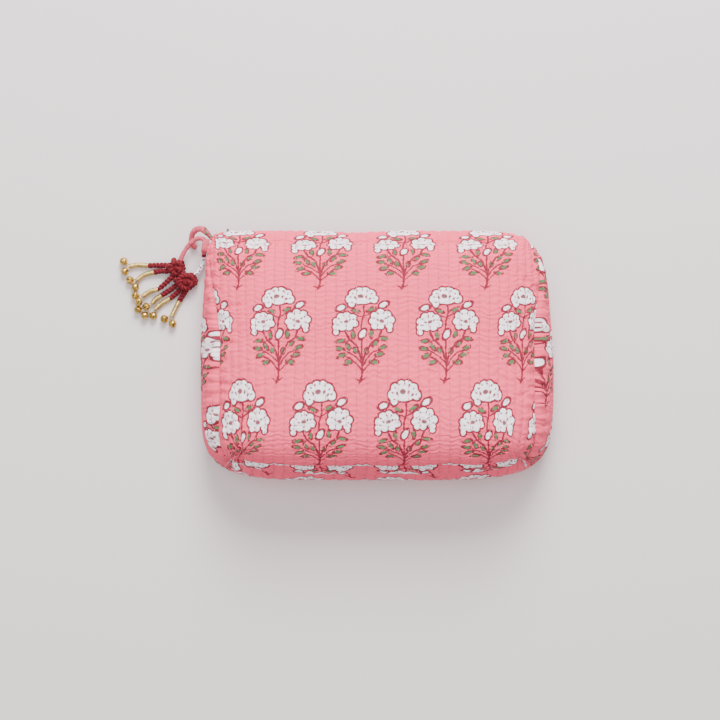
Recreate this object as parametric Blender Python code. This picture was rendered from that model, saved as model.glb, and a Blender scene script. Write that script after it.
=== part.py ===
"""Quilted makeup pouch with a zip, a fabric-cord pull and two belled tassels.

The pouch lies on its back: X runs across it, +Y points at the zip and Z is its
thickness. It is a wedge, thin at the zip and boxed at the base, sewn from a front
and a back, each of three layers (printed cotton, wadding and lining).
"""
import functools
import math

import bmesh
import bpy
import numpy as np
from mathutils import Matrix, Vector

MM = 0.001

# Driving dimensions of the pouch, metres
HALF_WIDTH = 0.120          # widest, about the middle of the height
HALF_HEIGHT = 0.0845        # middle to zip edge, and middle to base
LEFT_TAPER = 0.0045         # how much narrower the zip end is, on the left
RIGHT_TAPER = 0.007         # the same on the right
BASE_SQUARENESS = 5.0       # superellipse powers of the outline's corners
LEFT_SQUARENESS = 18.0
RIGHT_SQUARENESS = 8.0
ZIP_THICKNESS = 0.026       # crown height at the zip edge
CROWN_RISE = 0.042          # how much higher the crown is at the base
CROWN_POWER = 0.75
GIRTH_Z = 0.016             # height of the widest line at the sides and base
ZIP_Z = 0.013               # height of the zip
FLAT_SHARE = 0.82           # share of the back that lies flat
SIDE_SEAM = 0.89            # how far out the seam lies, seen from above
BASE_SEAM = 0.955
SEAM_GAP = 0.006            # share of each panel left free at the seam
INNER_SQUARENESS = 120.0    # how much squarer the grid of a panel is than its outline
INNER_FADE = 2.5
GRID_KNEE = 0.8             # share past which the grid's lines are spaced by slope
GRID_SLOPE = 0.5

LAYERS = {                  # depth of each layer below the outer face: top, bottom
    "outer": (0.0, 0.8 * MM),
    "wadding": (1.3 * MM, 2.3 * MM),
    "lining": (2.8 * MM, 3.4 * MM),
}

# The zip, which lies in the plane y = ZIP_Y
ZIP_Y = 0.0786
LIP_X = (-0.0970, 0.0818)   # span of the half of the zip on the lip that folds back
LIP_SPAN = (-0.75, 0.62)    # the lip's own span, as shares of the front panel
LIP_FOLD = 0.77             # where it is stitched down and folds
FRONT_LIP_END = 0.90        # its free edge
BACK_LIP_END = 0.925        # the back's edge below it
CHANNEL_END = 0.80          # where the gap between the lips ends at the right
BACK_CHANNEL_END = 0.80
EDGE_GAP = 0.0035           # share of a panel left between the lip and the panel
TAPE_THICKNESS = 0.6 * MM
COIL_THICKNESS = 2.4 * MM
COIL_GAP = 0.6 * MM         # half the gap between the two coils
COIL_DEPTH = 1.4 * MM
TAPE_GAP = 0.3 * MM
FRONT_TAPE_REACH = 3.7 * MM # how far each half of the zip stands from the middle
BACK_TAPE_REACH = 3.1 * MM
BACK_ZIP_X = (-0.1055, 0.0932)
STOP_X = (0.0936, 0.0950)
SLIDER_X = -0.102
SLIDER_LENGTH = 9.0 * MM
SLIDER_HEIGHT = 6.8 * MM
PLATE_THICKNESS = 1.0 * MM
PLATE_Y = 2.2 * MM          # middle of each plate from the zip's plane
WEB_THICKNESS = 0.6 * MM
BRIDGE_REACH = 4.2 * MM
BRIDGE_WIRE = 0.7 * MM
BRIDGE_HALF = 3.0 * MM

# The pull and its tassels, which lie on the table to the left of the pouch
CORD_RADIUS = 1.6 * MM
LOOP_RADIUS = 1.9 * MM
STRAND_RADIUS = 1.5 * MM
SLEEVE_RADIUS = 1.25 * MM
BELL_RADIUS = 2.85 * MM
BELL_WALL = 0.4 * MM
BELL_MOUTH = 0.6 * MM
PELLET_RADIUS = 0.9 * MM
PIECE_GAP = 0.35 * MM

LOOP_ROUTE = [(-100.2, 83.6, 13.0), (-104.6, 83.6, 13.0), (-109.5, 83.2, 13.0), (-113.8, 83.4, 13.0),
              (-117.2, 85.8, 12.4), (-120.6, 87.3, 10.6), (-124.0, 86.4, 8.0), (-126.6, 83.7, 5.2),
              (-127.6, 80.0, 3.0), (-126.8, 76.6, 2.1), (-124.8, 74.6, 2.1)]
CORD_ROUTE = [(-135.4, 65.9, 5.2), (-132.5, 71.7, 6.4), (-128.4, 77.1, 8.0), (-123.7, 80.4, 9.8),
              (-119.4, 80.4, 11.2), (-117.5, 77.4, 11.2), (-118.4, 73.0, 9.0), (-119.2, 66.9, 6.4),
              (-120.6, 62.2, 5.0), (-123.0, 58.4, 4.8), (-126.0, 55.9, 4.9)]
HEADS = {                   # middle and half sizes of each tassel head
    "tassel_head_1": ((-138.4, 61.8, 5.0), (4.9, 4.9, 4.6)),
    "tassel_head_2": ((-131.6, 52.6, 5.0), (5.6, 5.2, 4.7)),
}
STRANDS = {                 # strand route, sleeve route, middles of the two bells
    "a": ([(-143.6, 62.6, 4.0), (-150.5, 62.7, 2.6), (-157.6, 62.5, 2.0)],
          [(-158.1, 62.5, 2.0), (-164.8, 62.9, 1.8), (-170.4, 62.0, 2.0)],
          [(-174.6, 65.4, 2.9), (-173.9, 58.4, 2.9)]),
    "b": ([(-143.2, 58.9, 3.8), (-148.7, 58.8, 2.6), (-153.6, 57.9, 2.0)],
          [(-154.1, 57.8, 2.0), (-160.6, 56.0, 1.8), (-165.3, 52.5, 2.0)],
          [(-170.3, 52.4, 2.9), (-166.6, 47.6, 2.9)]),
    "c": ([(-139.9, 56.3, 5.4), (-145.3, 50.6, 4.4), (-149.9, 46.5, 3.8)],
          [(-150.9, 45.9, 3.6), (-156.4, 44.6, 2.4), (-161.3, 41.4, 2.0)],
          [(-166.6, 41.7, 2.9), (-164.0, 37.2, 6.1)]),
    "d": ([(-136.8, 50.0, 3.4), (-142.6, 45.7, 1.9), (-148.4, 42.0, 1.7)],
          [(-148.9, 41.7, 1.7), (-152.6, 39.2, 1.8), (-155.0, 36.4, 2.2)],
          [(-158.9, 34.0, 4.6), (-164.7, 32.2, 2.9)]),
    "e": ([(-134.7, 47.2, 3.4), (-138.6, 43.0, 2.4), (-142.6, 39.9, 2.0)],
          [(-143.0, 39.6, 2.0), (-148.0, 36.6, 1.8), (-152.6, 32.6, 2.1)],
          [(-154.0, 27.8, 2.9), (-160.0, 28.0, 2.9)]),
    "f": ([(-131.2, 46.6, 3.4), (-133.6, 42.4, 2.4), (-136.2, 38.2, 2.0)],
          [(-136.5, 37.7, 2.0), (-139.2, 32.4, 1.8), (-141.4, 27.6, 2.1)],
          [(-146.6, 25.6, 2.9), (-140.8, 22.3, 2.9)]),
}
KEEPER_MIDDLE = (-118.7, 75.4, 13.8)
KEEPER_HALF = (1.6, 3.9, 0.8)


def smoothstep(low, high, value):
    share = min(max((value - low) / (high - low), 0.0), 1.0)
    return share * share * (3 - 2 * share)


def clear_scene():
    for item in list(bpy.data.objects):
        bpy.data.objects.remove(item, do_unlink=True)


def new_collection(name):
    group = bpy.data.collections.new(name)
    bpy.context.scene.collection.children.link(group)
    return group


def paint(item, name, color, roughness, metallic=0.0):
    """Give an object its own Principled material."""
    material = bpy.data.materials.new(name)
    material.use_nodes = True
    shader = material.node_tree.nodes["Principled BSDF"]
    shader.inputs["Base Color"].default_value = (*color, 1.0)
    shader.inputs["Roughness"].default_value = roughness
    shader.inputs["Metallic"].default_value = metallic
    item.data.materials.clear()
    item.data.materials.append(material)


COTTON_PINK = (0.85, 0.30, 0.36)
LINING_PINK = (0.90, 0.62, 0.64)
WADDING_WHITE = (0.90, 0.88, 0.84)
TAPE_PINK = (0.78, 0.30, 0.36)
COIL_PINK = (0.72, 0.25, 0.32)
CRIMSON = (0.30, 0.008, 0.03)
GOLD_THREAD = (0.72, 0.62, 0.36)
BRASS = (0.62, 0.42, 0.12)
NICKEL = (0.62, 0.60, 0.56)


# --- the pouch's surface ---------------------------------------------------

@functools.cache
def meridian(toward_zip, toward_base, front):
    """Profile from the middle of a panel out to the seam, evenly spaced along its length.

    Returns rows of (share of the plan radius, share of the girth height, share of the crown).
    """
    squareness = 5.0 + 4.0 * toward_zip
    fullness = 2.0 + 0.5 * toward_zip
    seam = SIDE_SEAM + (1.0 - SIDE_SEAM) * toward_zip + (BASE_SEAM - SIDE_SEAM) * toward_base
    seam_turn = math.asin(min(seam ** (squareness / 2), 1.0))
    rows = []
    if front:
        for turn in np.linspace(0.0, seam_turn, 160):
            rows.append((math.sin(turn) ** (2 / squareness), 1.0, math.cos(turn) ** (2 / fullness)))
        rows[0] = (0.0, 1.0, 1.0)
    else:
        rows = [(share, 0.0, 0.0) for share in np.linspace(0.0, FLAT_SHARE, 60)]
        for turn in np.linspace(0.0, math.pi / 2, 60)[1:]:
            rows.append((FLAT_SHARE + (1 - FLAT_SHARE) * math.sin(turn), 1 - math.cos(turn), 0.0))
        for turn in np.linspace(math.pi / 2, seam_turn, 60)[1:]:
            rows.append((math.sin(turn) ** (2 / squareness), 1.0, max(math.cos(turn), 0.0) ** (2 / fullness)))
    rows = np.array(rows)
    scale = np.array([0.100, GIRTH_Z, 0.032])
    steps = np.linalg.norm(np.diff(rows * scale, axis=0), axis=1)
    return rows, np.concatenate([[0.0], np.cumsum(steps)]) / steps.sum()


def spread(share, front):
    """How far out a line of the panel's grid lies, never bunched up at the edge."""
    rows, spaced = meridian(1.0, 0.0, front)
    knee = float(np.interp(GRID_KNEE, spaced, rows[:, 0]))
    if share > GRID_KNEE:
        return knee + (share - GRID_KNEE) * GRID_SLOPE
    return float(np.interp(share, spaced, rows[:, 0]))


def pouch_point(across, along, front):
    """Point of the pouch's outer face; across and along run from -1 to 1 over one panel."""
    ring = max(abs(across), abs(along))
    dir_x, dir_y = 0.0, -1.0
    if ring:
        dir_x = math.copysign(spread(abs(across), front) / spread(ring, front), across)
        dir_y = math.copysign(spread(abs(along), front) / spread(ring, front), along)
    if dir_y < 0:
        power = BASE_SQUARENESS
    else:
        power = LEFT_SQUARENESS if dir_x < 0 else RIGHT_SQUARENESS
    power += INNER_SQUARENESS * (1 - ring) ** INNER_FADE
    reach = (abs(dir_x) ** power + abs(dir_y) ** power) ** (1 / power)
    edge_y = HALF_HEIGHT * dir_y / reach
    taper = LEFT_TAPER if dir_x < 0 else RIGHT_TAPER
    half_width = HALF_WIDTH - taper * max(edge_y / 0.080, 0.0) ** 1.5
    edge_x = half_width * dir_x / reach
    toward_zip = smoothstep(0.1, 1.0, dir_y)
    toward_base = smoothstep(0.4, 1.0, -dir_y)
    rows, spaced = meridian(round(toward_zip, 3), round(toward_base, 3), front)
    share = [float(np.interp(ring, spaced, rows[:, column])) for column in range(3)]
    x, y = edge_x * share[0], edge_y * share[0]
    girth = GIRTH_Z + (ZIP_Z - GIRTH_Z) * toward_zip
    crown = ZIP_THICKNESS + CROWN_RISE * ((HALF_HEIGHT - y) / (2 * HALF_HEIGHT)) ** CROWN_POWER
    return Vector((x, y, girth * share[1] + (crown - girth) * share[2]))


def face_normal(across, along, front):
    """Outward direction of the pouch's outer face at a point of one panel."""
    step = 0.004
    sides = []
    for move_x, move_y in ((step, 0.0), (0.0, step)):
        high = pouch_point(min(across + move_x, 1.0), min(along + move_y, 1.0), front)
        low = pouch_point(max(across - move_x, -1.0), max(along - move_y, -1.0), front)
        sides.append(high - low)
    normal = sides[0].cross(sides[1]).normalized()
    return normal if front else -normal


def sheet_mesh(name, front, depths, across_lines, along_lines, skips=()):
    """Closed sheet between two depths below the outer face, over the cells that no skip covers."""
    sheet = bmesh.new()
    faces = []
    levels = [{}, {}]

    def corner(level, across, along):
        spot = (round(across, 6), round(along, 6))
        if spot not in levels[level]:
            place = pouch_point(across, along, front) - face_normal(across, along, front) * depths[level]
            levels[level][spot] = sheet.verts.new(place)
        return levels[level][spot]

    for low_y, high_y in zip(along_lines, along_lines[1:]):
        for low_x, high_x in zip(across_lines, across_lines[1:]):
            middle = ((low_x + high_x) / 2, (low_y + high_y) / 2)
            if any(skip[0] < middle[0] < skip[1] and skip[2] < middle[1] < skip[3] for skip in skips):
                continue
            cell = [(low_x, low_y), (high_x, low_y), (high_x, high_y), (low_x, high_y)]
            halves = ((0, 1, 2), (0, 2, 3)) if middle[0] * middle[1] > 0 else ((0, 1, 3), (1, 2, 3))
            for half in halves:
                spots = [cell[index] for index in (half if front else reversed(half))]
                faces.append(sheet.faces.new([corner(0, *spot) for spot in spots]))
                sheet.faces.new([corner(1, *spot) for spot in reversed(spots)])
    below = {vert: levels[1][spot] for spot, vert in levels[0].items()}
    for face in faces:
        for loop in list(face.loops):
            if loop.edge.is_boundary:
                start, end = loop.vert, loop.link_loop_next.vert
                sheet.faces.new((end, start, below[start], below[end]))
    mesh = bpy.data.meshes.new(name)
    sheet.to_mesh(mesh)
    sheet.free()
    return mesh


def add_mesh(name, mesh, group, color, roughness, metallic=0.0):
    item = bpy.data.objects.new(name, mesh)
    group.objects.link(item)
    paint(item, name, color, roughness, metallic)
    return item


def add_panels(group):
    """The front, the back and the lip that folds back, each in three layers."""
    colors = {"outer": COTTON_PINK, "wadding": WADDING_WHITE, "lining": LINING_PINK}
    lip_names = {"outer": "band_front", "wadding": "band_wadding", "lining": "band_lining"}
    keep = 1.0 - SEAM_GAP
    front_x = [-keep, -0.94, -0.86, LIP_SPAN[0], -0.55, -0.28, 0.0, 0.28, 0.5, LIP_SPAN[1], CHANNEL_END,
               0.84, 0.93, keep]
    front_y = [-keep, -0.94, -0.86, -0.7, -0.45, -0.2, 0.1, 0.4, 0.62, LIP_FOLD, 0.84, FRONT_LIP_END, keep]
    lip_x = [LIP_SPAN[0] + EDGE_GAP, -0.55, -0.28, 0.0, 0.28, 0.5, LIP_SPAN[1] - EDGE_GAP]
    lip_y = [LIP_FOLD + EDGE_GAP, 0.84, FRONT_LIP_END]
    back_x = [-keep, -0.93, -0.86, -0.8, -0.72, -0.5, -0.2, 0.1, 0.4, 0.6, 0.72, BACK_CHANNEL_END, 0.86, 0.93,
              keep]
    back_y = [-keep, -0.93, -0.86, -0.8, -0.72, -0.5, -0.2, 0.1, 0.4, 0.6, 0.72, 0.8, 0.87, BACK_LIP_END,
              keep]
    lip = (LIP_SPAN[0], LIP_SPAN[1], LIP_FOLD, FRONT_LIP_END)
    front_channel = (-1.0, CHANNEL_END, FRONT_LIP_END, 1.0)
    back_channel = (-1.0, BACK_CHANNEL_END, BACK_LIP_END, 1.0)
    for layer, depths in LAYERS.items():
        for name, front, lines_x, lines_y, skips in (
                (layer + "_front", True, front_x, front_y, (lip, front_channel)),
                (lip_names[layer], True, lip_x, lip_y, ()),
                (layer + "_back", False, back_x, back_y, (back_channel,))):
            mesh = sheet_mesh(name, front, depths, lines_x, lines_y, skips)
            add_mesh(name, mesh, group, colors[layer], 0.85)


# --- simple solids ---------------------------------------------------------

def box_matrix(low, high):
    size = Matrix.Diagonal(Vector([top - bottom for bottom, top in zip(low, high)] + [1.0]))
    middle = Vector([(top + bottom) / 2 for bottom, top in zip(low, high)])
    return Matrix.Translation(middle) @ size


def add_box(name, low, high, group, color, roughness, metallic=0.0):
    solid = bmesh.new()
    bmesh.ops.create_cube(solid, size=1.0, matrix=box_matrix(low, high))
    mesh = bpy.data.meshes.new(name)
    solid.to_mesh(mesh)
    solid.free()
    return add_mesh(name, mesh, group, color, roughness, metallic)


def smooth_route(points, spacing):
    """Evenly spaced points on a smooth curve through the given ones."""
    knots = [Vector(point) * MM for point in points]
    knots = [2 * knots[0] - knots[1]] + knots + [2 * knots[-1] - knots[-2]]
    fine = []
    for before, start, end, after in zip(knots, knots[1:], knots[2:], knots[3:]):
        for step in range(20):
            t = step / 20
            fine.append(0.5 * (2 * start + (end - before) * t
                               + (2 * before - 5 * start + 4 * end - after) * t * t
                               + (3 * start - before - 3 * end + after) * t ** 3))
    fine.append(knots[-2])
    lengths = np.concatenate([[0.0], np.cumsum([(b - a).length for a, b in zip(fine, fine[1:])])])
    count = max(2, round(lengths[-1] / spacing) + 1)
    marks = np.linspace(0.0, lengths[-1], count)
    table = np.array([tuple(point) for point in fine])
    return [Vector([np.interp(mark, lengths, table[:, axis]) for axis in range(3)]) for mark in marks]


def add_tube(name, points, radius, group, color, roughness, metallic=0.0, spacing=None):
    data = bpy.data.curves.new(name, "CURVE")
    data.dimensions = "3D"
    data.bevel_depth = radius
    data.bevel_resolution = 2
    data.use_fill_caps = True
    route = smooth_route(points, spacing or 2.2 * radius)
    spline = data.splines.new("POLY")
    spline.points.add(len(route) - 1)
    for point, place in zip(spline.points, route):
        point.co = (*place, 1.0)
    item = bpy.data.objects.new(name, data)
    group.objects.link(item)
    paint(item, name, color, roughness, metallic)
    return item


def add_ball(name, middle, halves, group, color, roughness, rings=8, sides=12):
    solid = bmesh.new()
    bmesh.ops.create_uvsphere(solid, u_segments=sides, v_segments=rings, radius=1.0)
    for vert in solid.verts:
        vert.co = Vector([mid * MM + co * half * MM for mid, co, half in zip(middle, vert.co, halves)])
    mesh = bpy.data.meshes.new(name)
    solid.to_mesh(mesh)
    solid.free()
    mesh.shade_smooth()
    return add_mesh(name, mesh, group, color, roughness)


# --- the zip ---------------------------------------------------------------

def add_zip(group):
    half_tape, half_coil = TAPE_THICKNESS / 2, COIL_THICKNESS / 2
    for side, sign, span, reach in (("back", -1, BACK_ZIP_X, BACK_TAPE_REACH), ("front", 1, LIP_X, FRONT_TAPE_REACH)):
        near, far = ZIP_Z + sign * COIL_GAP, ZIP_Z + sign * (COIL_GAP + COIL_DEPTH)
        add_box("zip_coil_" + side, (span[0], ZIP_Y - half_coil, min(near, far)),
                (span[1], ZIP_Y + half_coil, max(near, far)), group, COIL_PINK, 0.45)
        near, far = far + sign * TAPE_GAP, far + sign * (TAPE_GAP + reach - COIL_DEPTH)
        add_box("zip_tape_" + side, (span[0], ZIP_Y - half_tape, min(near, far)),
                (span[1], ZIP_Y + half_tape, max(near, far)), group, TAPE_PINK, 0.8)
    add_box("zip_bottom_stop", (STOP_X[0], ZIP_Y - half_coil, ZIP_Z - 2.4 * MM),
            (STOP_X[1], ZIP_Y + half_coil, ZIP_Z + 2.4 * MM), group, NICKEL, 0.35, 1.0)


def add_slider(group):
    """Two plates joined by a thin divider between the coils, and the bridge on the outer one."""
    outline = []
    outer, inner = PLATE_Y + PLATE_THICKNESS / 2, PLATE_Y - PLATE_THICKNESS / 2
    half, web = SLIDER_HEIGHT / 2, WEB_THICKNESS / 2
    for y, z in ((outer, half), (inner, half), (inner, web), (-inner, web), (-inner, half), (-outer, half),
                 (-outer, -half), (-inner, -half), (-inner, -web), (inner, -web), (inner, -half),
                 (outer, -half)):
        outline.append((y, z))
    data = bpy.data.curves.new("slider_section", "CURVE")
    data.dimensions = "2D"
    data.fill_mode = "BOTH"
    data.extrude = SLIDER_LENGTH / 2
    spline = data.splines.new("POLY")
    spline.points.add(len(outline) - 1)
    for point, (y, z) in zip(spline.points, outline):
        point.co = (y, z, 0.0, 1.0)
    spline.use_cyclic_u = True
    item = bpy.data.objects.new("slider_body", data)
    item.rotation_euler = (math.pi / 2, 0.0, math.pi / 2)
    item.location = (SLIDER_X, ZIP_Y, ZIP_Z)
    group.objects.link(item)
    paint(item, "slider_body", NICKEL, 0.35, 1.0)
    foot = ZIP_Y + outer + PIECE_GAP + BRIDGE_WIRE
    profile = ((0.0, 1.0), (0.55, 0.95), (1.0, 0.62), (1.0, -0.62), (0.55, -0.95), (0.0, -1.0))
    route = [Vector((SLIDER_X, foot + out * BRIDGE_REACH, ZIP_Z + up * BRIDGE_HALF)) / MM for out, up in profile]
    add_tube("slider_bridge", route, BRIDGE_WIRE, group, NICKEL, 0.35, 1.0, 1.6 * MM)


# --- the pull and the tassels ----------------------------------------------

def add_bell(name, middle, toward, group):
    """Thin turned shell with a round mouth on the side away from its strand."""
    profile = []
    mouth_turn = math.asin(BELL_MOUTH / BELL_RADIUS)
    for turn in np.linspace(0.0, math.pi - mouth_turn, 7):
        profile.append((BELL_RADIUS * math.sin(turn), BELL_RADIUS * math.cos(turn)))
    hollow = BELL_RADIUS - BELL_WALL
    mouth_turn = math.asin(BELL_MOUTH / hollow)
    for turn in np.linspace(math.pi - mouth_turn, 0.0, 6):
        profile.append((hollow * math.sin(turn), hollow * math.cos(turn)))
    shell = bmesh.new()
    verts = [shell.verts.new((radius, 0.0, z)) for radius, z in profile]
    edges = [shell.edges.new(pair) for pair in zip(verts, verts[1:])]
    bmesh.ops.spin(shell, geom=verts + edges, cent=(0, 0, 0), axis=(0, 0, 1), angle=2 * math.pi,
                   steps=10, use_merge=True)
    bmesh.ops.remove_doubles(shell, verts=shell.verts, dist=1e-6)
    bmesh.ops.recalc_face_normals(shell, faces=shell.faces)
    turn = (Vector(toward) - Vector(middle)).to_track_quat("Z", "Y").to_matrix().to_4x4()
    shell.transform(turn)
    bmesh.ops.translate(shell, verts=shell.verts, vec=Vector(middle) * MM)
    mesh = bpy.data.meshes.new(name)
    shell.to_mesh(mesh)
    shell.free()
    mesh.shade_smooth()
    add_mesh(name, mesh, group, BRASS, 0.3, 1.0)


def add_pellet(name, middle, group):
    """Loose pellet, resting on the bottom of its bell's hollow."""
    solid = bmesh.new()
    drop = BELL_RADIUS - BELL_WALL - PELLET_RADIUS - PIECE_GAP
    place = Matrix.Translation(Vector(middle) * MM - Vector((0, 0, drop)))
    bmesh.ops.create_icosphere(solid, subdivisions=1, radius=PELLET_RADIUS, matrix=place)
    mesh = bpy.data.meshes.new(name)
    solid.to_mesh(mesh)
    solid.free()
    add_mesh(name, mesh, group, NICKEL, 0.3, 1.0)


def add_pull(group):
    add_tube("pull_loop", LOOP_ROUTE, LOOP_RADIUS, group, COTTON_PINK, 0.85)
    add_tube("pull_cord", CORD_ROUTE, CORD_RADIUS, group, COTTON_PINK, 0.85)
    low = [(mid - half) * MM for mid, half in zip(KEEPER_MIDDLE, KEEPER_HALF)]
    high = [(mid + half) * MM for mid, half in zip(KEEPER_MIDDLE, KEEPER_HALF)]
    add_box("pull_keeper", low, high, group, COTTON_PINK, 0.85)
    for name, (middle, halves) in HEADS.items():
        add_ball(name, middle, halves, group, CRIMSON, 0.8)
    for letter, (strand, sleeve, bells) in STRANDS.items():
        add_tube("strand_" + letter, strand, STRAND_RADIUS, group, CRIMSON, 0.8)
        add_tube("sleeve_" + letter, sleeve, SLEEVE_RADIUS, group, GOLD_THREAD, 0.4, 0.6)
        for number, middle in enumerate(bells, 1):
            add_bell("bell_" + letter + str(number), middle, sleeve[-1], group)
            add_pellet("pellet_" + letter + str(number), middle, group)


# --- the seam binding inside -----------------------------------------------

def add_binding(group):
    """Rolled binding over the raw edges of the seam, just inside the lining."""
    inward = 6.2 * MM
    left = [(-1.0, along) for along in np.linspace(0.6, -0.75, 7)]
    base = [(across, -1.0) for across in np.linspace(-0.75, 0.75, 7)]
    right = [(1.0, along) for along in np.linspace(-0.75, 0.6, 7)]
    points = []
    for across, along in left + base + right:
        toward = Vector((0.0, 1.0, -0.55)) if along == -1.0 else Vector((-across, 0.0, -0.55))
        points.append((pouch_point(across, along, True) + toward.normalized() * inward) / MM)
    add_tube("seam_binding", points, 1.1 * MM, group, LINING_PINK, 0.85, spacing=11.0 * MM)


def main():
    clear_scene()
    group = new_collection("makeup_pouch")
    add_panels(group)
    add_zip(group)
    add_slider(group)
    add_binding(group)
    add_pull(group)


main()
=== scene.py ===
import functools
import math

import bmesh
import bpy
import numpy as np
from mathutils import Matrix, Vector


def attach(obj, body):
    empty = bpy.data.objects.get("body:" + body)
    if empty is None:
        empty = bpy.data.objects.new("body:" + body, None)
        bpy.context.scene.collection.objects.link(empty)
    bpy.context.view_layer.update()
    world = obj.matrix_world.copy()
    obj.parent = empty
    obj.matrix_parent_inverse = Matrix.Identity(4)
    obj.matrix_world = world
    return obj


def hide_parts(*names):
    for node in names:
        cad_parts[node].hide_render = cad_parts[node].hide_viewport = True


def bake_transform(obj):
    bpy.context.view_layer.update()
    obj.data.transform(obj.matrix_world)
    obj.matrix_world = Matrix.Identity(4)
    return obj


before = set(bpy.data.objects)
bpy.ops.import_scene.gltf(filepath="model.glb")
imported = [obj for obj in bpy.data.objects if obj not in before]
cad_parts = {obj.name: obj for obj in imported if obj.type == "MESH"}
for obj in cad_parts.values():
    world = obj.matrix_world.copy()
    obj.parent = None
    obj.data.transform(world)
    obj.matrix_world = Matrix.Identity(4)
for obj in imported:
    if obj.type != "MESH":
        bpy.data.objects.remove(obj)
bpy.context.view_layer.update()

bl_info = {
    "name": "Quilted makeup pouch",
    "version": (1, 0, 0),
    "blender": (4, 5, 0),
    "location": "3D Viewport > Sidebar > Pouch",
    "description": "Builds the looks of a quilted makeup pouch with a zip and a belled pull",
    "category": "Object",
}

MM = 0.001
BOUQUET_UNIT = 0.001         # the bouquet is drawn in millimetres of cloth

# The pouch's surface, as in the solids
HALF_WIDTH, HALF_HEIGHT = 0.120, 0.0845
LEFT_TAPER, RIGHT_TAPER = 0.0045, 0.007
BASE_SQUARENESS, LEFT_SQUARENESS, RIGHT_SQUARENESS = 5.0, 18.0, 8.0
ZIP_THICKNESS, CROWN_RISE, CROWN_POWER = 0.026, 0.042, 0.75
GIRTH_Z, ZIP_Z, ZIP_Y = 0.016, 0.013, 0.0786
FLAT_SHARE, SIDE_SEAM, BASE_SEAM = 0.82, 0.89, 0.955
INNER_SQUARENESS, INNER_FADE, GRID_KNEE, GRID_SLOPE = 120.0, 2.5, 0.8, 0.5
LIP_SPAN, LIP_FOLD = (-0.75, 0.62), 0.77
FRONT_LIP_END, BACK_LIP_END, CHANNEL = 0.90, 0.925, (-0.86, 0.80)
LIP_X = (-0.0970, 0.0818)
BACK_ZIP_X = (-0.1055, 0.0932)
COIL_GAP, COIL_DEPTH, COIL_THICKNESS = 0.6 * MM, 1.4 * MM, 2.4 * MM

# Pull and tassels, millimetres
LOOP_ROUTE = [(-100.8, 82.7, 13.0), (-104.6, 82.5, 13.0), (-109.5, 81.3, 13.0), (-112.8, 80.6, 13.0),
              (-116.0, 84.0, 12.6), (-119.8, 87.1, 10.8), (-124.0, 86.9, 8.0), (-127.0, 84.0, 5.2),
              (-127.6, 80.0, 3.0), (-126.8, 76.6, 2.1), (-124.8, 74.6, 2.1)]
CORD_ROUTE = [(-135.4, 65.9, 5.2), (-132.5, 71.7, 6.4), (-128.4, 77.1, 8.0), (-123.7, 80.4, 9.8),
              (-119.4, 80.4, 11.2), (-117.5, 77.4, 11.2), (-118.4, 73.0, 9.0), (-119.2, 66.9, 6.4),
              (-120.6, 62.2, 5.0), (-123.0, 58.4, 4.8), (-126.0, 55.9, 4.9)]
HEADS = {"tassel_1": ((-138.4, 61.8, 5.0), (5.6, 5.5, 4.7)),
         "tassel_2": ((-131.6, 52.6, 5.0), (7.2, 6.2, 4.8))}
STRANDS = {
    "a": ("tassel_1", [(-143.6, 62.6, 4.0), (-150.5, 62.7, 2.6), (-157.6, 62.5, 2.0)],
          [(-158.1, 62.5, 2.0), (-164.8, 62.9, 1.8), (-170.4, 62.0, 2.0)],
          [(-174.6, 65.4, 2.9), (-173.9, 58.4, 2.9)]),
    "b": ("tassel_1", [(-143.2, 58.9, 3.8), (-148.7, 58.8, 2.6), (-153.6, 57.9, 2.0)],
          [(-154.1, 57.8, 2.0), (-160.6, 56.0, 1.8), (-165.3, 52.5, 2.0)],
          [(-170.3, 52.4, 2.9), (-166.6, 47.6, 2.9)]),
    "c": ("tassel_1", [(-139.9, 56.3, 5.4), (-145.3, 50.6, 4.4), (-149.9, 46.5, 3.8)],
          [(-150.9, 45.9, 3.6), (-156.4, 44.6, 2.4), (-161.3, 41.4, 2.0)],
          [(-166.6, 41.7, 2.9), (-164.0, 37.2, 6.1)]),
    "d": ("tassel_2", [(-136.8, 50.0, 3.4), (-142.6, 45.7, 1.9), (-148.4, 42.0, 1.7)],
          [(-148.9, 41.7, 1.7), (-152.6, 39.2, 1.8), (-155.0, 36.4, 2.2)],
          [(-158.9, 34.0, 4.6), (-164.7, 32.2, 2.9)]),
    "e": ("tassel_2", [(-134.7, 47.2, 3.4), (-138.6, 43.0, 2.4), (-142.6, 39.9, 2.0)],
          [(-143.0, 39.6, 2.0), (-148.0, 36.6, 1.8), (-152.6, 32.6, 2.1)],
          [(-154.0, 27.8, 2.9), (-160.0, 28.0, 2.9)]),
    "f": ("tassel_2", [(-131.2, 46.6, 3.4), (-133.6, 42.4, 2.4), (-136.2, 38.2, 2.0)],
          [(-136.5, 37.7, 2.0), (-139.2, 32.4, 1.8), (-141.4, 27.6, 2.1)],
          [(-146.6, 25.6, 2.9), (-140.8, 22.3, 2.9)]),
}
KEEPER_MIDDLE, KEEPER_HALF = (-117.4, 75.6, 13.6), (2.3, 4.6, 0.9)


# --- settings -----------------------------------------------------------------

def length_setting(name, about, value):
    return bpy.props.FloatProperty(name=name, description=about, default=value, unit="LENGTH", precision=5)


def color_setting(name, about, value):
    return bpy.props.FloatVectorProperty(name=name, description=about, default=value, subtype="COLOR",
                                         size=3, min=0.0, max=1.0)


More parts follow.
